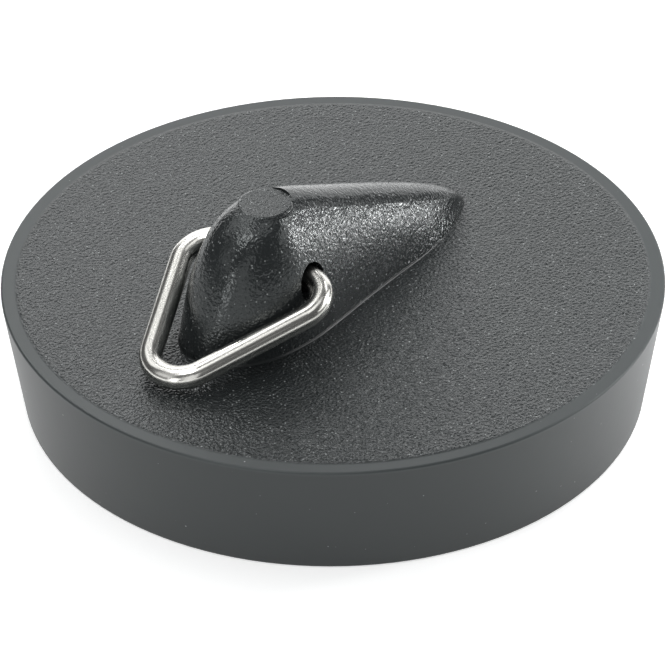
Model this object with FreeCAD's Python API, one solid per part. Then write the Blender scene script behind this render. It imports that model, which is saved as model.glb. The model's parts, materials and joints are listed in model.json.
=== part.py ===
import FreeCAD, Part
import math
import os

# Drain stopper: a tapered plug with a fin-shaped grip lug and a loose triangular wire ring.
# Millimetres, +Z up, origin in the middle of the plug's underside.
# The lug runs along X: its tall nose is at -X and its low tail at +X.

# Plug disc: its wall tapers towards the underside
TOP_DIAMETER = 45.0
BOTTOM_DIAMETER = 42.4
THICKNESS = 8.6
TOP_EDGE_RADIUS = 0.15
BOTTOM_EDGE_RADIUS = 0.2

# Hollow underside
SKIRT_WALL = 3.2
PLATE_THICKNESS = 3.4
HOLLOW_DRAFT = 0.4
HOLLOW_CORNER_RADIUS = 1.2

# Grip lug, heights above the disc's face
NOSE_REACH = 13.5
TAIL_REACH = 12.9
LUG_WIDTH = 8.4
LUG_HEIGHT = 9.12
RIDGE_RADIUS = 2.4
APEX_RADIUS = 1.85
APEX_OFFSET = 6.4
APEX_DEPTH = 1.0
APEX_EDGE_RADIUS = 0.2
LUG_ROOT = 0.6

# Cross hole through the lug
HOLE_DIAMETER = 2.6
HOLE_OFFSET = 5.8
HOLE_HEIGHT = 4.2

# Wire ring: its straight side lies in the cross hole and its tip passes in front of the nose
WIRE_DIAMETER = 1.6
RING_TIP_ROOM = 3.84
RING_END_GAP = 0.3
RING_REST_GAP = 0.15

# The loose ring lies a little askew and to one side, as far as the hole lets it
RING_SKEW = 4.7
RING_SIDE_SHIFT = 0.25

# One overrun for all cuts
CUT_OVERRUN = 1.0

# How closely an edge has to match a wanted place, as a share of that length
MATCH_SHARE = 1e-6

# Lug from nose to tail: place along its length, half width at the face, crest height,
# ridge radius, and the radius of the swell of its flanks
lug_station_shares = (
    (0.003, 0.16, 0.043, 0.10, 1.5),
    (0.015, 0.35, 0.163, 0.30, 1.5),
    (0.046, 0.59, 0.435, 0.62, 1.5),
    (0.095, 0.80, 0.761, 0.90, 1.5),
    (0.155, 0.94, 0.935, 1.15, 1.5),
    (0.231, 1.00, 1.027, 1.25, 1.5),
    (0.299, 1.00, 1.046, 0.92, 1.6),
    (0.352, 0.965, 1.005, 0.78, 1.5),
    (0.451, 0.876, 0.880, 0.80, 1.35),
    (0.617, 0.75, 0.664, 0.78, 1.05),
    (0.792, 0.62, 0.426, 0.68, 1.0),
    (0.911, 0.386, 0.241, 0.46, 1.0),
    (0.962, 0.22, 0.136, 0.28, 1.0),
    (0.994, 0.09, 0.038, 0.10, 1.0),
)

# Ring round the lug: its straight side and the radii of its corners and tip, of the lug's width
ring_straight_share = 0.81
ring_corner_share = 0.256
ring_tip_share = 0.277

top_radius = TOP_DIAMETER / 2
bottom_radius = BOTTOM_DIAMETER / 2
lug_length = NOSE_REACH + TAIL_REACH
hole_radius = HOLE_DIAMETER / 2
hole_z = THICKNESS + HOLE_HEIGHT
wire_radius = WIRE_DIAMETER / 2
ring_reach = NOSE_REACH - HOLE_OFFSET + RING_TIP_ROOM


def vec(x, y, z):
    return FreeCAD.Vector(x, y, z)


def turned(points):
    """Solid of revolution about the plug's axis from an outline in the XZ plane."""
    outline = Part.Face(Part.makePolygon(points + [points[0]]))
    return outline.revolve(vec(0, 0, 0), vec(0, 0, 1), 360)


def circles(solid, radius, height):
    """Round edges of this radius about the plug's axis at this height."""
    found = []
    for edge in solid.Edges:
        if not isinstance(edge.Curve, Part.Circle):
            continue
        right_size = math.isclose(edge.Curve.Radius, radius, rel_tol=MATCH_SHARE)
        if right_size and math.isclose(edge.Curve.Center.z, height, abs_tol=MATCH_SHARE * THICKNESS):
            found.append(edge)
    return found


def plug_disc():
    """Tapered disc with a flat face and a hollow underside."""
    disc = turned([
        vec(0, 0, 0),
        vec(bottom_radius, 0, 0),
        vec(top_radius, 0, THICKNESS),
        vec(0, 0, THICKNESS),
    ])
    hollow_depth = THICKNESS - PLATE_THICKNESS
    mouth_radius = bottom_radius - SKIRT_WALL
    roof_radius = mouth_radius - HOLLOW_DRAFT
    hollow = turned([
        vec(0, 0, 0),
        vec(mouth_radius, 0, 0),
        vec(roof_radius, 0, hollow_depth),
        vec(0, 0, hollow_depth),
    ])
    hollow = hollow.makeFillet(HOLLOW_CORNER_RADIUS, circles(hollow, roof_radius, hollow_depth))
    disc = disc.cut(hollow)
    disc = disc.makeFillet(TOP_EDGE_RADIUS, circles(disc, top_radius, THICKNESS))
    return disc.makeFillet(BOTTOM_EDGE_RADIUS, circles(disc, bottom_radius, 0))


def lug_section(station, half_width, crest, ridge_radius, flank_radius):
    """Cross section of the lug: two slightly swelling flanks that run smoothly into a round ridge."""
    ridge_z = crest - ridge_radius
    # The flank's circle passes through the foot and touches the ridge's circle from outside it
    ridge_reach = flank_radius - ridge_radius
    spread = math.hypot(half_width, ridge_z)
    along = (ridge_reach ** 2 - flank_radius ** 2 + spread ** 2) / (2 * spread)
    aside = math.sqrt(ridge_reach ** 2 - along ** 2)
    to_foot_y = half_width / spread
    to_foot_z = -ridge_z / spread
    flank_y = along * to_foot_y + aside * to_foot_z
    flank_z = ridge_z + along * to_foot_z - aside * to_foot_y
    root_angle = math.asin((-LUG_ROOT - flank_z) / flank_radius)
    shoulder_angle = math.atan2(ridge_z - flank_z, -flank_y)
    right = []
    for angle in (root_angle, (root_angle + shoulder_angle) / 2, shoulder_angle):
        y = flank_y + flank_radius * math.cos(angle)
        z = THICKNESS + flank_z + flank_radius * math.sin(angle)
        right.append(vec(station, y, z))
    left = [vec(point.x, -point.y, point.z) for point in right]
    ridge_top = vec(station, 0, THICKNESS + crest)
    return Part.Wire([
        Part.Arc(right[0], right[1], right[2]).toShape(),
        Part.Arc(right[2], ridge_top, left[2]).toShape(),
        Part.Arc(left[2], left[1], left[0]).toShape(),
        Part.LineSegment(left[0], right[0]).toShape(),
    ])


def lug():
    """Fin-shaped grip: a round nose, a ridge that falls to the tail, and a flat round button as its apex."""
    sections = []
    for place, width, crest, ridge, flank in lug_station_shares:
        station = place * lug_length - NOSE_REACH
        half_width = width * LUG_WIDTH / 2
        sizes = (crest * LUG_HEIGHT, ridge * RIDGE_RADIUS, flank * LUG_HEIGHT)
        sections.append(lug_section(station, half_width, *sizes))
    body = Part.makeLoft(sections, True, False)
    apex_z = THICKNESS + LUG_HEIGHT
    above = Part.makeCylinder(APEX_RADIUS, LUG_HEIGHT, vec(-APEX_OFFSET, 0, apex_z))
    button = Part.makeCylinder(APEX_RADIUS, APEX_DEPTH, vec(-APEX_OFFSET, 0, apex_z - APEX_DEPTH))
    button = button.makeFillet(APEX_EDGE_RADIUS, circles(button, APEX_RADIUS, apex_z))
    return body.cut(above).fuse(button)


def plug_body():
    """Disc and lug as one moulding, with the cross hole for the wire."""
    moulding = plug_disc().fuse(lug())
    hole_length = LUG_WIDTH + 2 * CUT_OVERRUN
    hole_start = vec(-HOLE_OFFSET, -hole_length / 2, hole_z)
    return moulding.cut(Part.makeCylinder(hole_radius, hole_length, hole_start, vec(0, 1, 0)))


def ring_path():
    """Centre line of the ring in its own plane, X from hinge to tip: a belt round two corners and a tip."""
    straight_half = ring_straight_share * LUG_WIDTH / 2
    corner_radius = ring_corner_share * LUG_WIDTH
    tip_radius = ring_tip_share * LUG_WIDTH
    tip_x = ring_reach - tip_radius
    # The leg touches both circles, so its outward direction follows from their places and radii
    run_x = tip_x - corner_radius
    run = math.hypot(run_x, straight_half)
    outward = math.acos((corner_radius - tip_radius) / run) - math.atan2(straight_half, run_x)
    corner_middle = (math.pi + outward) / 2
    end = vec(0, RING_END_GAP / 2, 0)
    corner_start = vec(0, straight_half, 0)
    corner_points = []
    for angle in (corner_middle, outward):
        x = corner_radius * (1 + math.cos(angle))
        corner_points.append(vec(x, straight_half + corner_radius * math.sin(angle), 0))
    tip_start = vec(tip_x + tip_radius * math.cos(outward), tip_radius * math.sin(outward), 0)
    side = [end, corner_start, *corner_points, tip_start]
    other = [vec(point.x, -point.y, 0) for point in side]
    edges = []
    for points in (side, other):
        edges.append(Part.LineSegment(points[0], points[1]).toShape())
        edges.append(Part.Arc(points[1], points[2], points[3]).toShape())
        edges.append(Part.LineSegment(points[3], points[4]).toShape())
    edges.append(Part.Arc(side[4], vec(ring_reach, 0, 0), other[4]).toShape())
    return Part.Wire(Part.__sortEdges__(edges))


def triangle_ring():
    """Bent wire, hung in the cross hole with its tip down on the face."""
    path = ring_path()
    start = path.OrderedVertexes[0].Point
    profile = Part.Wire([Part.Circle(start, vec(0, 1, 0), wire_radius).toShape()])
    ring = path.makePipeShell([profile], True, False)
    tip_z = THICKNESS + wire_radius + RING_REST_GAP
    tilt = math.degrees(math.asin((hole_z - tip_z) / ring_reach))
    ring.rotate(vec(0, 0, 0), vec(0, 0, 1), 180)
    ring.rotate(vec(0, 0, 0), vec(0, 1, 0), -tilt)
    ring.rotate(vec(0, 0, 0), vec(0, 0, 1), RING_SKEW)
    ring.translate(vec(-HOLE_OFFSET, RING_SIDE_SHIFT, hole_z))
    print("ring tilt at rest", round(tilt, 3), "hinge", round(-HOLE_OFFSET, 4), round(hole_z, 4))
    return ring


os.makedirs("parts", exist_ok=True)
nodes = {
    "plug_body": plug_body(),
    "triangle_ring": triangle_ring(),
}
for name, shape in nodes.items():
    shape.exportStep("parts/" + name + ".step")
    box = shape.BoundBox
    print(name, shape.isValid(), len(shape.Solids), "volume", round(shape.Volume, 1))
    print("  box from", round(box.XMin, 2), round(box.YMin, 2), round(box.ZMin, 2))
    print("  box to", round(box.XMax, 2), round(box.YMax, 2), round(box.ZMax, 2))
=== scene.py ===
import json
import math

import bmesh
import bpy
from mathutils import Matrix, Vector


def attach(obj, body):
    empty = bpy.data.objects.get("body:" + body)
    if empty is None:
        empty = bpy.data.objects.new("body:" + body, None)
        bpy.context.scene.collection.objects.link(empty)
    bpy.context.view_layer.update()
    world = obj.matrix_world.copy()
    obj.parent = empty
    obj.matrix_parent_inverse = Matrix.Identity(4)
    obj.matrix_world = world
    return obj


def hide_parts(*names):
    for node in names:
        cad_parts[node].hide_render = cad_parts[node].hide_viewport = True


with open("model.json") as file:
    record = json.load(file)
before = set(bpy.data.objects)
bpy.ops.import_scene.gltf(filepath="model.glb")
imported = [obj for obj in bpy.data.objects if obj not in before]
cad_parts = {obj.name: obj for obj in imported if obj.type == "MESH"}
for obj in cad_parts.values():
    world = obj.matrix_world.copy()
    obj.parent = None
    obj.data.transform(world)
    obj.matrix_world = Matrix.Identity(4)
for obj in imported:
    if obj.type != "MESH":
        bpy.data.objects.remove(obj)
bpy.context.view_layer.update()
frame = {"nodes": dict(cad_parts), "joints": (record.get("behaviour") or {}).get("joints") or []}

bl_info = {
    "name": "Drain Stopper",
    "version": (1, 0, 0),
    "blender": (4, 5, 0),
    "location": "View3D > Sidebar > Stopper",
    "description": "Looks of a moulded drain stopper with a fin-shaped grip and a loose wire ring",
    "category": "Object",
}

MM = 0.001
FACE_HEIGHT = 8.6 * MM
QUARTER_TURN = math.radians(90)
# How far from the rim, the face and the grip's foot the grain fades in or out
RIM_FADE_INWARD = 0.2 * MM
RIM_FADE_OUTWARD = 0.05 * MM
FACE_FADE_START = 0.3 * MM
FACE_FADE_END = 0.1 * MM
GRIP_FADE_START = 0.1 * MM
GRIP_FADE_END = 0.8 * MM
# Gloss, bumps, specks and the painted glints on the grain tops of the moulding
PLASTIC_IOR = 1.52
HILLS_PER_GRAIN = 1.4
SKIN_WAVE = 1.4 * MM
SKIN_WAVE_DEPTH = 0.02 * MM
SPECK_CORE_SHARE = 0.6
SPECK_EDGE_SHARE = 1.3
TOP_CORE_SHARE = 0.5
TOP_EDGE_SHARE = 1.2
PARTING_WAVE = 0.5 * MM
PARTING_WAVE_DEPTH = 0.02 * MM
# The round at the grip's foot, which ends just below the face
FOOT_STEPS = 5
FOOT_DROP_SHARE = 1.05
MESH_MERGE = 0.001 * MM
PLANE_ROOM = 0.0001 * MM
OUTLINE_MERGE = 0.02 * MM
# Steps along the ring and sides round its wire
WIRE_SIDES = 40
CORNER_STEPS = 16
TIP_STEPS = 24
STRAIGHT_STEPS = 4
LEG_STEPS = 10
# Draw lines along the wire and the orange peel of its bends
LINE_WIDTH = 0.12 * MM
LINE_LENGTH = 6.0 * MM
LINE_DEPTH = 0.01 * MM
PEEL_SIZE = 0.22 * MM
PEEL_DEPTH = 0.012 * MM
# Studio, in metres
FLOOR_HALF = 0.8
FLOOR_BOX_ASIDE = 0.055
# Photograph's camera, in pixels and in millimetres of sensor
PHOTO_SIDE = 665.0
PHOTO_MIDDLE = (332.9, 276.13)
PHOTO_FOCAL = 6000.0
SENSOR_WIDTH = 36.0
hinge_place = Vector(frame["joints"][0]["pos_m"])


def linear(code):
    """sRGB hex colour as linear red, green, blue and alpha."""
    channels = [int(code[i:i + 2], 16) / 255 for i in (1, 3, 5)]
    return tuple(c / 12.92 if c <= 0.04045 else ((c + 0.055) / 1.055) ** 2.4 for c in channels) + (1.0,)


def add_node(tree, kind, inputs=None, **settings):
    """Adds a shader node with its settings; each input is a value or another node's output."""
    node = tree.nodes.new(kind)
    for name, value in settings.items():
        setattr(node, name, value)
    for name, value in (inputs or {}).items():
        if isinstance(value, bpy.types.NodeSocket):
            tree.links.new(value, node.inputs[name])
        else:
            node.inputs[name].default_value = value
    return node


def new_material(name):
    """Empty node material and its tree."""
    material = bpy.data.materials.new(name)
    material.use_nodes = True
    material.node_tree.nodes.clear()
    return material, material.node_tree


def dress(piece, material):
    """Gives a piece this one material."""
    piece.data.materials.clear()
    piece.data.materials.append(material)


def new_piece(name, mesh_maker, body):
    """Object from a finished bmesh, riding on its body."""
    mesh = bpy.data.meshes.new(name)
    mesh_maker.to_mesh(mesh)
    mesh_maker.free()
    for face in mesh.polygons:
        face.use_smooth = True
    piece = bpy.data.objects.new(name, mesh)
    bpy.context.scene.collection.objects.link(piece)
    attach(piece, body)
    return piece


class PlugLooks(bpy.types.PropertyGroup):
    """Sizes and colours of the black moulding."""
    black: bpy.props.FloatVectorProperty(
        name="Black", description="Colour of the soft black plastic", size=4, subtype="COLOR",
        min=0, max=1, default=linear("#26292a"))
    # Painted sheen: the rim's paler colour stands in for the brighter reflection off its smooth skin
    rim: bpy.props.FloatVectorProperty(
        name="Rim", description="Colour of the smooth rim, rubbed a little paler", size=4, subtype="COLOR",
        min=0, max=1, default=linear("#383c3d"))
    dust: bpy.props.FloatVectorProperty(
        name="Dust", description="Colour of the pale dust specks", size=4, subtype="COLOR",
        min=0, max=1, default=linear("#acb0b0"))
    # Painted glints: the pale colour of some grain tops stands in for small sparkles of light off the grain
    top: bpy.props.FloatVectorProperty(
        name="Grain tops", description="Colour of the most rubbed grain tops", size=4, subtype="COLOR",
        min=0, max=1, default=linear("#949898"))
    face_height: bpy.props.FloatProperty(
        name="Face height", description="Height of the grained face above the underside",
        unit="LENGTH", default=FACE_HEIGHT)
    rim_inside: bpy.props.FloatProperty(
        name="Rim inside", description="Inner radius of the smooth rim", unit="LENGTH", default=21.5 * MM)
    grain: bpy.props.FloatProperty(
        name="Grain", description="Distance between neighbouring grains of the moulded face", unit="LENGTH",
        default=0.3 * MM)
    grain_depth: bpy.props.FloatProperty(
        name="Grain depth", description="Depth of the moulded grain", unit="LENGTH", default=0.115 * MM)
    grip_grain: bpy.props.FloatProperty(
        name="Grip grain", description="Share of the grain's depth that the grip has", min=0, max=1,
        default=0.4)
    speck_spacing: bpy.props.FloatProperty(
        name="Speck spacing", description="Mean distance between dust specks", unit="LENGTH",
        default=1.2 * MM)
    speck_size: bpy.props.FloatProperty(
        name="Speck size", description="Radius of a dust speck", unit="LENGTH", default=0.05 * MM)
    # Spacing and size of the painted glint dots on the grain tops
    top_spacing: bpy.props.FloatProperty(
        name="Top spacing", description="Size of the cells that may each hold one rubbed grain top",
        unit="LENGTH", default=0.36 * MM)
    top_size: bpy.props.FloatProperty(
        name="Top size", description="Radius of a rubbed grain top", unit="LENGTH", default=0.062 * MM)
    foot_radius: bpy.props.FloatProperty(
        name="Foot radius", description="Radius of the round at the foot of the grip", unit="LENGTH",
        default=0.14 * MM)


class RingLooks(bpy.types.PropertyGroup):
    """Sizes and colour of the wire ring."""
    steel: bpy.props.FloatVectorProperty(
        name="Steel", description="Colour of the polished wire", size=4, subtype="COLOR",
        min=0, max=1, default=linear("#dcdbd6"))
    wire_radius: bpy.props.FloatProperty(
        name="Wire radius", description="Radius of the wire", unit="LENGTH", default=0.8 * MM)
    straight_half: bpy.props.FloatProperty(
        name="Straight half", description="Half of the straight side in the grip's hole", unit="LENGTH",
        default=3.402 * MM)
    corner_radius: bpy.props.FloatProperty(
        name="Corner radius", description="Bend radius of the two corners", unit="LENGTH",
        default=2.1504 * MM)
    tip_radius: bpy.props.FloatProperty(
        name="Tip radius", description="Bend radius of the tip", unit="LENGTH", default=2.3268 * MM)
    reach: bpy.props.FloatProperty(
        name="Reach", description="From the hinge to the tip's centre line", unit="LENGTH",
        default=11.54 * MM)
    end_gap: bpy.props.FloatProperty(
        name="End gap", description="Gap between the wire's two ends in the hole", unit="LENGTH",
        default=0.3 * MM)
    side_shift: bpy.props.FloatProperty(
        name="Side shift", description="How far the loose ring lies to one side", unit="LENGTH",
        default=0.25 * MM)
    skew: bpy.props.FloatProperty(
        name="Skew", description="How far the loose ring lies askew in its hole", subtype="ANGLE",
        default=math.radians(4.7))
    tip_height: bpy.props.FloatProperty(
        name="Tip height", description="Height of the tip's centre line at rest", unit="LENGTH",
        default=9.55 * MM)


class StageLooks(bpy.types.PropertyGroup):
    """Camera, light and floor."""
    floor: bpy.props.FloatVectorProperty(
        name="Floor", description="Colour of the floor", size=4, subtype="COLOR",
        min=0, max=1, default=linear("#f2f3f3"))
    floor_glow: bpy.props.FloatProperty(
        name="Floor glow", description="Light added to the floor where the camera sees it", min=0,
        default=0.5)
    ambient: bpy.props.FloatProperty(
        name="Ambient", description="Strength of the surround's even light", min=0, default=0.1)
    azimuth: bpy.props.FloatProperty(
        name="Azimuth", description="Camera's turn about the vertical", subtype="ANGLE",
        default=math.radians(-46.0))
    elevation: bpy.props.FloatProperty(
        name="Elevation", description="Camera's angle above the floor", subtype="ANGLE",
        default=math.radians(35.1))
    roll: bpy.props.FloatProperty(
        name="Roll", description="Camera's roll", subtype="ANGLE", default=math.radians(-0.617))
    distance: bpy.props.FloatProperty(
        name="Distance", description="Camera's distance from the middle of the top", unit="LENGTH",
        default=406.0 * MM)


class STOPPER_OT_plug(bpy.types.Operator):
    """Dress the moulded plug in black plastic with its moulded grain"""
    bl_idname = "stopper.plug"
    bl_label = "Dress Plug"

    def execute(self, context):
        looks = context.scene.stopper_plug
        dress(frame["nodes"]["plug_body"], moulded_black(looks))
        return {"FINISHED"}


class STOPPER_OT_foot(bpy.types.Operator):
    """Round the corner where the grip rises from the face"""
    bl_idname = "stopper.foot"
    bl_label = "Round Foot"

    def execute(self, context):
        looks = context.scene.stopper_plug
        foot = new_piece("grip_foot_round", rounded_foot(looks), "plug")
        dress(foot, smooth_black(looks))
        return {"FINISHED"}


class STOPPER_OT_ring(bpy.types.Operator):
    """Bend the wire ring and polish it"""
    bl_idname = "stopper.ring"
    bl_label = "Bend Ring"

    def execute(self, context):
        looks = context.scene.stopper_ring
        ring = new_piece("wire_ring", bent_wire(looks), "ring")
        dress(ring, drawn_steel(looks))
        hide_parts("triangle_ring")
        return {"FINISHED"}


class STOPPER_OT_stage(bpy.types.Operator):
    """Set up the floor, the soft lights and the camera"""
    bl_idname = "stopper.stage"
    bl_label = "Set Stage"

    def execute(self, context):
        looks = context.scene.stopper_stage
        lay_floor(looks)
        light_scene(context.scene, looks)
        place_camera(context.scene, looks)
        return {"FINISHED"}


class STOPPER_PT_panel(bpy.types.Panel):
    """Lists the steps that make the stopper's looks"""
    bl_idname = "STOPPER_PT_panel"
    bl_label = "Drain Stopper"
    bl_space_type = "VIEW_3D"
    bl_region_type = "UI"
    bl_category = "Stopper"

    def draw(self, context):
        for operator in OPERATORS:
            self.layout.operator(operator.bl_idname)
        for name in GROUPS:
            column = self.layout.column()
            looks = getattr(context.scene, name)
            for key in looks.__annotations__:
                column.prop(looks, key)


def moulded_black(looks):
    """Soft black PVC, injection moulded: a fine matt grain on the face and grip, and a smooth rim and wall.

    The grain breaks the studio's reflection into grey with small sparkles; the smooth rim keeps it even. Pale
    dots on some grain tops are painted glints, and the rim's paler colour is painted sheen.
    """
    material, tree = new_material("black_pvc_moulded")
    place = add_node(tree, "ShaderNodeTexCoord").outputs["Object"]
    parts = add_node(tree, "ShaderNodeSeparateXYZ", {"Vector": place})
    flat = add_node(tree, "ShaderNodeVectorMath", {0: place, 1: (1, 1, 0)}, operation="MULTIPLY")
    radius = add_node(tree, "ShaderNodeVectorMath", {0: flat.outputs["Vector"]}, operation="LENGTH")
    # The grain ends at the smooth rim and covers nothing below the face
    inside = add_node(tree, "ShaderNodeMapRange", {
        "Value": radius.outputs["Value"], "From Min": looks.rim_inside - RIM_FADE_INWARD,
        "From Max": looks.rim_inside + RIM_FADE_OUTWARD, "To Min": 1.0, "To Max": 0.0})
    above = add_node(tree, "ShaderNodeMapRange", {
        "Value": parts.outputs["Z"], "From Min": looks.face_height - FACE_FADE_START,
        "From Max": looks.face_height - FACE_FADE_END})
    grained = add_node(tree, "ShaderNodeMath", {
        0: inside.outputs["Result"], 1: above.outputs["Result"]}, operation="MULTIPLY").outputs["Value"]
    # Moulded grain: small rounded hills and pits side by side
    hills = add_node(tree, "ShaderNodeTexNoise", {
        "Vector": place, "Scale": HILLS_PER_GRAIN / looks.grain, "Detail": 1.0, "Roughness": 0.5,
        "Distortion": 0.3})
    # The grip's grain is shallower than the face's
    worn = add_node(tree, "ShaderNodeMapRange", {
        "Value": parts.outputs["Z"], "From Min": looks.face_height + GRIP_FADE_START,
        "From Max": looks.face_height + GRIP_FADE_END, "To Min": 1.0, "To Max": looks.grip_grain})
    grain_share = add_node(tree, "ShaderNodeMath", {
        0: grained, 1: worn.outputs["Result"]}, operation="MULTIPLY")
    grain_height = add_node(tree, "ShaderNodeMath", {
        0: hills.outputs["Fac"], 1: grain_share.outputs["Value"]}, operation="MULTIPLY")
    grain = add_node(tree, "ShaderNodeBump", {
        "Strength": 1.0, "Distance": looks.grain_depth, "Height": grain_height.outputs["Value"]})
    # The smooth skin still has a slight unevenness
    skin = add_node(tree, "ShaderNodeTexNoise", {"Vector": place, "Scale": 1 / SKIN_WAVE, "Detail": 3.0})
    uneven = add_node(tree, "ShaderNodeBump", {
        "Strength": 0.25, "Distance": SKIN_WAVE_DEPTH, "Height": skin.outputs["Fac"],
        "Normal": grain.outputs["Normal"]})
    # Pale dust specks, a few to the square centimetre
    motes = add_node(tree, "ShaderNodeTexVoronoi", {
        "Vector": place, "Scale": 1 / looks.speck_spacing, "Randomness": 1.0}, feature="F1")
    mote = add_node(tree, "ShaderNodeMapRange", {
        "Value": motes.outputs["Distance"],
        "From Min": SPECK_CORE_SHARE * looks.speck_size / looks.speck_spacing,
        "From Max": SPECK_EDGE_SHARE * looks.speck_size / looks.speck_spacing,
        "To Min": 1.0, "To Max": 0.0})
    chance = add_node(tree, "ShaderNodeSeparateColor", {"Color": motes.outputs["Color"]})
    dusty = add_node(tree, "ShaderNodeMath", {
        0: mote.outputs["Result"], 1: chance.outputs["Red"]}, operation="MULTIPLY")
    # Painted glints: some grain tops are coloured pale, each one differently, to stand in for the sparkle of
    # the lamps off the grain
    tops = add_node(tree, "ShaderNodeTexVoronoi", {
        "Vector": place, "Scale": 1 / looks.top_spacing, "Randomness": 1.0}, feature="F1")
    top = add_node(tree, "ShaderNodeMapRange", {
        "Value": tops.outputs["Distance"],
        "From Min": TOP_CORE_SHARE * looks.top_size / looks.top_spacing,
        "From Max": TOP_EDGE_SHARE * looks.top_size / looks.top_spacing,
        "To Min": 1.0, "To Max": 0.0})
    glint_chance = add_node(tree, "ShaderNodeSeparateColor", {"Color": tops.outputs["Color"]})
    glint_dot = add_node(tree, "ShaderNodeMath", {
        0: top.outputs["Result"], 1: glint_chance.outputs["Green"]}, operation="MULTIPLY")
    glinting = add_node(tree, "ShaderNodeMath", {
        0: glint_dot.outputs["Value"], 1: grained}, operation="MULTIPLY")
    # Painted sheen: the smooth rim is coloured a little paler than the rest, standing in for the brighter
    # reflection off its smooth skin
    painted_rim_sheen = add_node(tree, "ShaderNodeMath", {
        0: above.outputs["Result"], 1: grained}, operation="SUBTRACT")
    skin_and_rim_sheen_colour = add_node(tree, "ShaderNodeMix", {
        "Factor": painted_rim_sheen.outputs["Value"], "A": looks.black, "B": looks.rim}, data_type="RGBA")
    colour_with_painted_glints = add_node(tree, "ShaderNodeMix", {
        "Factor": glinting.outputs["Value"], "A": skin_and_rim_sheen_colour.outputs["Result"],
        "B": looks.top}, data_type="RGBA")
    colour = add_node(tree, "ShaderNodeMix", {
        "Factor": dusty.outputs["Value"], "A": colour_with_painted_glints.outputs["Result"],
        "B": looks.dust}, data_type="RGBA")
    rough = add_node(tree, "ShaderNodeMapRange", {
        "Value": grained, "To Min": 0.4, "To Max": 0.2})
    shader = add_node(tree, "ShaderNodeBsdfPrincipled", {
        "Base Color": colour.outputs["Result"], "Roughness": rough.outputs["Result"], "IOR": PLASTIC_IOR,
        "Specular Tint": (0.95, 1.0, 1.0, 1.0), "Normal": uneven.outputs["Normal"]})
    add_node(tree, "ShaderNodeOutputMaterial", {"Surface": shader.outputs["BSDF"]})
    return material


def extruded(maker, edges):
    """Extrudes an open end where it is; gives the new end's vertices and edges."""
    grown = bmesh.ops.extrude_edge_only(maker, edges=edges)["geom"]
    verts = [item for item in grown if isinstance(item, bmesh.types.BMVert)]
    ends = set(verts)
    edges = [item for item in grown if isinstance(item, bmesh.types.BMEdge) and set(item.verts) <= ends]
    return verts, edges


def rounded_foot(looks):
    """Hollow round along the grip's foot: its outline above the face, spread out and down to the face."""
    maker = bmesh.new()
    maker.from_mesh(frame["nodes"]["plug_body"].data)
    bmesh.ops.remove_doubles(maker, verts=maker.verts, dist=MESH_MERGE)
    bmesh.ops.bisect_plane(
        maker, geom=maker.verts[:] + maker.edges[:] + maker.faces[:], dist=PLANE_ROOM,
        plane_co=(0, 0, looks.face_height + looks.foot_radius), plane_no=(0, 0, 1),
        clear_inner=True, clear_outer=True)
    bmesh.ops.remove_doubles(maker, verts=maker.verts, dist=OUTLINE_MERGE)
    outline = maker.edges[:]
    low = Vector([min(vert.co[axis] for vert in maker.verts) for axis in range(3)])
    high = Vector([max(vert.co[axis] for vert in maker.verts) for axis in range(3)])
    middle = (low + high) / 2
    bmesh.ops.edgeloop_fill(maker, edges=outline)
    spread = 0.0
    drop = 0.0
    edges = outline
    for step in range(1, FOOT_STEPS + 1):
        turn = QUARTER_TURN * step / FOOT_STEPS
        next_spread = looks.foot_radius * (1 - math.cos(turn))
        next_drop = looks.foot_radius * math.sin(turn) * FOOT_DROP_SHARE
        verts, edges = extruded(maker, edges)
        wider = [1 + (next_spread - spread) / (high[axis] - middle[axis] + spread) for axis in (0, 1)]
        bmesh.ops.scale(maker, vec=(*wider, 1), space=Matrix.Translation(-middle), verts=verts)
        bmesh.ops.translate(maker, vec=(0, 0, drop - next_drop), verts=verts)
        spread = next_spread
        drop = next_drop
    bmesh.ops.edgeloop_fill(maker, edges=edges)
    bmesh.ops.recalc_face_normals(maker, faces=maker.faces)
    return maker


def smooth_black(looks):
    """The same black PVC where the mould's parting left a thin smooth line, a little uneven."""
    material, tree = new_material("black_pvc_parting_line")
    place = add_node(tree, "ShaderNodeTexCoord").outputs["Object"]
    ripple = add_node(tree, "ShaderNodeTexNoise", {
        "Vector": place, "Scale": 1 / PARTING_WAVE, "Detail": 2.0})
    rippled = add_node(tree, "ShaderNodeBump", {
        "Strength": 1.0, "Distance": PARTING_WAVE_DEPTH, "Height": ripple.outputs["Fac"]})
    shader = add_node(tree, "ShaderNodeBsdfPrincipled", {
        "Base Color": looks.black, "Roughness": 0.25, "IOR": PLASTIC_IOR, "Normal": rippled.outputs["Normal"]})
    add_node(tree, "ShaderNodeOutputMaterial", {"Surface": shader.outputs["BSDF"]})
    return material


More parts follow.
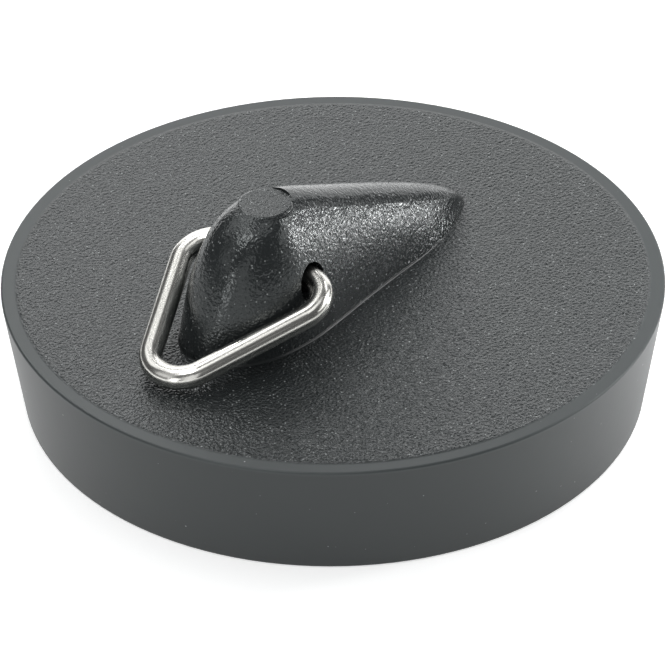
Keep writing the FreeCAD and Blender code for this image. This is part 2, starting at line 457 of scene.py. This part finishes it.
def bent_wire(looks):
    """Ring of round wire: a straight side in the hole, two corner bends, two legs and a round tip."""
    run_x = looks.reach - looks.tip_radius - looks.corner_radius
    run = math.hypot(run_x, looks.straight_half)
    slope = (looks.corner_radius - looks.tip_radius) / run
    outward = math.acos(slope) - math.atan2(looks.straight_half, run_x)
    corner_turn = math.pi - outward
    leg = run * math.sqrt(1 - slope ** 2)
    tip_x = looks.reach - looks.tip_radius
    corner_x = looks.corner_radius
    # Each bend: its centre, its radius, how far the wire turns there, and its steps
    corner = (Vector((corner_x, looks.straight_half, 0)), looks.corner_radius, corner_turn, CORNER_STEPS)
    tip = (Vector((tip_x, 0, 0)), looks.tip_radius, 2 * outward, TIP_STEPS)
    last = (Vector((corner_x, -looks.straight_half, 0)), looks.corner_radius, corner_turn, CORNER_STEPS)
    straight = looks.straight_half - looks.end_gap / 2
    wire = bmesh.new()
    unbent = wire.verts.layers.float_vector.new("unbent")
    strained = wire.verts.layers.float.new("strained")
    start = Matrix.Translation((0, looks.end_gap / 2, 0)) @ Matrix.Rotation(-QUARTER_TURN, 4, "X")
    section = bmesh.ops.create_circle(
        wire, radius=looks.wire_radius, segments=WIRE_SIDES, cap_ends=True)["verts"]
    for vert in section:
        vert[unbent] = vert.co.copy()
    bmesh.ops.transform(wire, matrix=start, verts=section)
    heading = Vector((0, 1, 0))
    length = 0.0
    edges = wire.edges[:]

    def advance(edges, length, strain, move):
        verts, edges = extruded(wire, edges)
        move(verts)
        for vert in verts:
            vert[unbent] = (vert[unbent].x, vert[unbent].y, length)
            vert[strained] = strain
        return edges

    def go_straight(edges, length, heading, distance, steps):
        for _ in range(steps):
            length += distance / steps
            shift = heading * distance / steps
            edges = advance(edges, length, 0.0,
                            lambda verts: bmesh.ops.translate(wire, vec=shift, verts=verts))
        return edges, length

    def go_round(edges, length, heading, bend):
        centre, radius, turn, steps = bend
        step = Matrix.Rotation(-turn / steps, 3, "Z")
        for _ in range(steps):
            length += radius * turn / steps
            heading = step @ heading
            edges = advance(edges, length, 1.0,
                            lambda verts: bmesh.ops.rotate(wire, cent=centre, matrix=step, verts=verts))
        return edges, length, heading

    edges, length = go_straight(edges, length, heading, straight, STRAIGHT_STEPS)
    edges, length, heading = go_round(edges, length, heading, corner)
    edges, length = go_straight(edges, length, heading, leg, LEG_STEPS)
    edges, length, heading = go_round(edges, length, heading, tip)
    edges, length = go_straight(edges, length, heading, leg, LEG_STEPS)
    edges, length, heading = go_round(edges, length, heading, last)
    edges, length = go_straight(edges, length, heading, straight, STRAIGHT_STEPS)
    bmesh.ops.edgeloop_fill(wire, edges=edges)
    tilt = math.asin((hinge_place.z - looks.tip_height) / looks.reach)
    lowered = Matrix.Rotation(-tilt, 4, "Y") @ Matrix.Rotation(math.pi, 4, "Z")
    askew = Matrix.Rotation(looks.skew, 4, "Z") @ lowered
    rest = Matrix.Translation((hinge_place.x, looks.side_shift, hinge_place.z)) @ askew
    bmesh.ops.transform(wire, matrix=rest, verts=wire.verts)
    bmesh.ops.recalc_face_normals(wire, faces=wire.faces)
    return wire


def drawn_steel(looks):
    """Stainless steel wire, drawn and polished: bright, with faint draw lines along it and rougher bends."""
    material, tree = new_material("stainless_steel_drawn_wire")
    lay = add_node(tree, "ShaderNodeAttribute", attribute_name="unbent").outputs["Vector"]
    bend = add_node(tree, "ShaderNodeAttribute", attribute_name="strained").outputs["Fac"]
    # Draw lines: about a tenth of a millimetre wide, drawn coarser than real so that they show
    stretch = add_node(tree, "ShaderNodeVectorMath", {
        0: lay, 1: (1 / LINE_WIDTH, 1 / LINE_WIDTH, 1 / LINE_LENGTH)}, operation="MULTIPLY")
    lines = add_node(tree, "ShaderNodeTexNoise", {
        "Vector": stretch.outputs["Vector"], "Scale": 1.0, "Detail": 3.0})
    # Bending leaves a fine orange peel on the wire
    peel = add_node(tree, "ShaderNodeTexNoise", {"Vector": lay, "Scale": 1 / PEEL_SIZE, "Detail": 3.0})
    peeled = add_node(tree, "ShaderNodeMath", {0: peel.outputs["Fac"], 1: bend}, operation="MULTIPLY")
    line_bump = add_node(tree, "ShaderNodeBump", {
        "Strength": 0.2, "Distance": LINE_DEPTH, "Height": lines.outputs["Fac"]})
    peel_bump = add_node(tree, "ShaderNodeBump", {
        "Strength": 0.5, "Distance": PEEL_DEPTH, "Height": peeled.outputs["Value"],
        "Normal": line_bump.outputs["Normal"]})
    rough = add_node(tree, "ShaderNodeMapRange", {
        "Value": lines.outputs["Fac"], "From Min": 0.3, "From Max": 0.7, "To Min": 0.16, "To Max": 0.28})
    shader = add_node(tree, "ShaderNodeBsdfPrincipled", {
        "Base Color": looks.steel, "Metallic": 1.0, "Roughness": rough.outputs["Result"],
        "Normal": peel_bump.outputs["Normal"]})
    add_node(tree, "ShaderNodeOutputMaterial", {"Surface": shader.outputs["BSDF"]})
    return material


def looked_at(tree):
    """One where the camera sees a surface, directly or mirrored, and zero where it only lights others."""
    path = add_node(tree, "ShaderNodeLightPath")
    mirrored = add_node(tree, "ShaderNodeMath", {
        0: path.outputs["Is Glossy Ray"], 1: path.outputs["Is Transmission Ray"]}, operation="MAXIMUM")
    seen = add_node(tree, "ShaderNodeMath", {
        0: path.outputs["Is Camera Ray"], 1: mirrored.outputs["Value"]}, operation="MAXIMUM")
    return seen.outputs["Value"]


def lay_floor(looks):
    """Pale floor that turns white for the camera but keeps the soft shadow."""
    maker = bmesh.new()
    bmesh.ops.create_grid(maker, x_segments=1, y_segments=1, size=FLOOR_HALF)
    mesh = bpy.data.meshes.new("studio_floor")
    maker.to_mesh(mesh)
    maker.free()
    floor = bpy.data.objects.new("studio_floor", mesh)
    bpy.context.scene.collection.objects.link(floor)
    material, tree = new_material("pale_matt_floor")
    matt = add_node(tree, "ShaderNodeBsdfDiffuse", {"Color": looks.floor})
    glow = add_node(tree, "ShaderNodeEmission", {"Color": (1, 1, 1, 1), "Strength": looks.floor_glow})
    lifted = add_node(tree, "ShaderNodeAddShader", {0: matt.outputs["BSDF"], 1: glow.outputs["Emission"]})
    seen = add_node(tree, "ShaderNodeMixShader", {
        0: looked_at(tree), 1: matt.outputs["BSDF"], 2: lifted.outputs["Shader"]})
    add_node(tree, "ShaderNodeOutputMaterial", {"Surface": seen.outputs["Shader"]})
    dress(floor, material)


def direction(turn, rise):
    """Direction at a turn about the vertical, counted from the front, and a rise above the floor."""
    return Vector((math.sin(turn) * math.cos(rise), -math.cos(turn) * math.cos(rise), math.sin(rise)))


def camera_right(looks):
    """Level direction to the camera's right."""
    return Vector((math.cos(looks.azimuth), math.sin(looks.azimuth), 0))


def hang_box(scene, looks, aim, name, azimuth, elevation, distance, width, height, power):
    """Soft box at an azimuth from the camera and an elevation, facing the place that it is aimed at."""
    out = direction(looks.azimuth + math.radians(azimuth), math.radians(elevation))
    lamp = bpy.data.lights.new(name, "AREA")
    lamp.shape = "RECTANGLE"
    lamp.size = width
    lamp.size_y = height
    lamp.energy = power
    holder = bpy.data.objects.new(name, lamp)
    holder.visible_camera = False
    facing = out.to_track_quat("Z", "Y").to_matrix().to_4x4()
    holder.matrix_world = Matrix.Translation(aim + out * distance) @ facing
    scene.collection.objects.link(holder)


def light_scene(scene, looks):
    """Soft boxes all round and above, and a dim even surround."""
    aim = Vector((0, 0, FACE_HEIGHT))
    # Name, azimuth from the camera, elevation, distance, width and height in metres, and power in watts
    boxes = (
        ("right_strip", 107, 1, 0.40, 0.04, 0.03, 0.215),
        ("right_high", 103, 30, 0.40, 0.05, 0.10, 0.2),
        ("right_top", 90, 68, 0.40, 0.12, 0.14, 0.05),
        ("back_panel", 175, 17, 0.115, 0.17, 0.085, 0.064),
        ("back_left", -157, 43, 0.15, 0.05, 0.02, 0.023),
        ("back_middle", 180, 43, 0.15, 0.04, 0.02, 0.008),
        ("back_right", 134, 43, 0.15, 0.05, 0.02, 0.014),
        ("back_high", 180, 62, 0.40, 0.03, 0.03, 0.012),
        ("back_top", 180, 68, 0.40, 0.12, 0.14, 0.036),
        ("left_back", -120, 46, 0.40, 0.21, 0.14, 0.123),
        ("left_back_top", -135, 68, 0.40, 0.12, 0.14, 0.142),
        ("left_top", -90, 68, 0.40, 0.12, 0.14, 0.11),
        ("left_high", -60, 46, 0.40, 0.21, 0.14, 0.034),
        ("left_middle", -60, 26, 0.40, 0.21, 0.14, 0.07),
        ("front_left_top", -35, 66, 0.40, 0.10, 0.12, 0.28),
        ("front_low", -33, 8, 0.40, 0.09, 0.14, 0.19),
        ("front_low_right", 0, 6, 0.40, 0.21, 0.14, 0.073),
        ("front_middle", 0, 26, 0.40, 0.21, 0.14, 0.09),
        ("front_top", 0, 68, 0.40, 0.12, 0.14, 0.045),
        ("front_right_top", 45, 68, 0.40, 0.12, 0.14, 0.063),
    )
    for box in boxes:
        hang_box(scene, looks, aim, *box)
    # This one hangs over the floor on the right, which the wall mirrors
    floor_box = ("floor_right", 0, 90, 0.03, 0.06, 0.05, 0.015)
    hang_box(scene, looks, camera_right(looks) * FLOOR_BOX_ASIDE, *floor_box)
    world = bpy.data.worlds.new("studio_surround")
    world.use_nodes = True
    tree = world.node_tree
    tree.nodes.clear()
    surround = add_node(tree, "ShaderNodeBackground", {"Color": (1, 1, 1, 1), "Strength": looks.ambient})
    add_node(tree, "ShaderNodeOutputWorld", {"Surface": surround.outputs["Background"]})
    scene.world = world
    scene.view_settings.view_transform = "Standard"


def place_camera(scene, looks):
    """Camera at the photograph's angle: the point that it is aimed at lies off the picture's middle."""
    across = camera_right(looks)
    back = direction(looks.azimuth, looks.elevation)
    upright = back.cross(across)
    right = math.cos(looks.roll) * across + math.sin(looks.roll) * upright
    up = -math.sin(looks.roll) * across + math.cos(looks.roll) * upright
    aside = (PHOTO_MIDDLE[0] - PHOTO_SIDE / 2) / PHOTO_FOCAL
    raised = (PHOTO_SIDE / 2 - PHOTO_MIDDLE[1]) / PHOTO_FOCAL
    spot = Vector((0, 0, FACE_HEIGHT)) + looks.distance * (back - aside * right - raised * up)
    lens = bpy.data.cameras.new("photo_camera")
    lens.sensor_width = SENSOR_WIDTH
    lens.lens = PHOTO_FOCAL * SENSOR_WIDTH / PHOTO_SIDE
    lens.clip_start = 0.01
    camera = bpy.data.objects.new("photo_camera", lens)
    turned = Matrix((right, up, back)).transposed().to_4x4()
    camera.matrix_world = Matrix.Translation(spot) @ turned
    scene.collection.objects.link(camera)
    scene.camera = camera


GROUPS = {"stopper_plug": PlugLooks, "stopper_ring": RingLooks, "stopper_stage": StageLooks}
OPERATORS = (STOPPER_OT_stage, STOPPER_OT_plug, STOPPER_OT_foot, STOPPER_OT_ring)
CLASSES = (*GROUPS.values(), *OPERATORS, STOPPER_PT_panel)


def register():
    for cls in CLASSES:
        bpy.utils.register_class(cls)
    for name, group in GROUPS.items():
        setattr(bpy.types.Scene, name, bpy.props.PointerProperty(type=group))


def unregister():
    for name in GROUPS:
        delattr(bpy.types.Scene, name)
    for cls in reversed(CLASSES):
        bpy.utils.unregister_class(cls)


def main():
    register()
    bpy.ops.stopper.stage()
    bpy.ops.stopper.plug()
    bpy.ops.stopper.foot()
    bpy.ops.stopper.ring()


if __name__ == "__main__":
    main()
